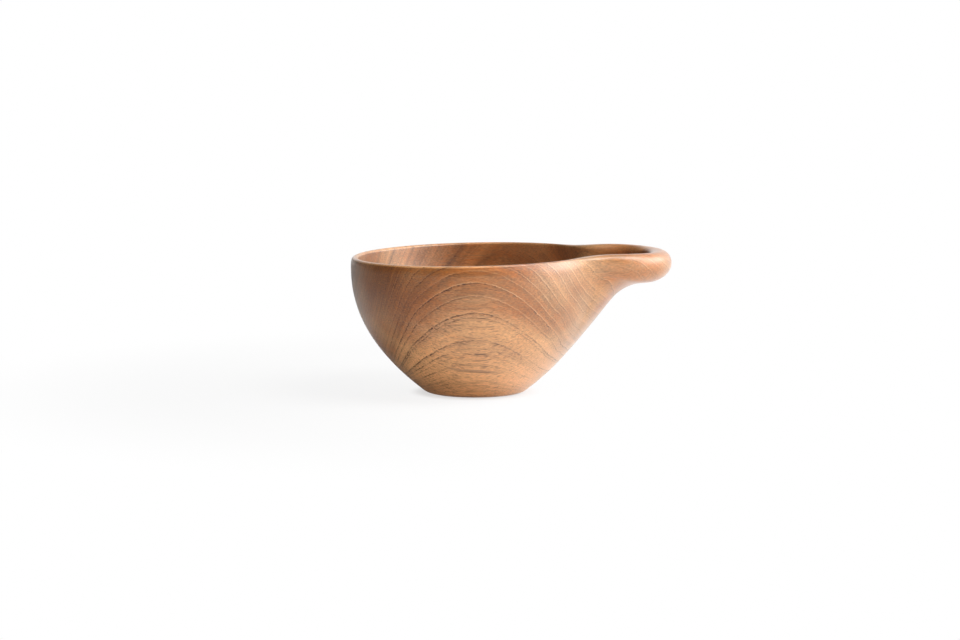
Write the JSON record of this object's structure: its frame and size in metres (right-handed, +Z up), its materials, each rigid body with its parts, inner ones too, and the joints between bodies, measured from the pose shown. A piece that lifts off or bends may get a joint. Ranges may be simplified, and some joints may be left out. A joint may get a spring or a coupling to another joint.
{
  "type": "wooden serving bowl",
  "caption": "Round wooden serving bowl on a small flat foot, carved with its rim drawn out on one side into a broad hollowed handle, for salad or fruit.",
  "frame": {"origin": "centre of the flat foot, on the axis of the round bowl, at table height", "axes": "+X from the bowl's axis along the handle, +Y to the left of it, +Z up"},
  "size_m": [0.2805, 0.2168, 0.1258],
  "materials": {
    "teak": "oiled teak, satin, with open ring-porous grain"
  },
  "bodies": {
    "root": {"bowl": "teak"}
  },
  "joints": []
}
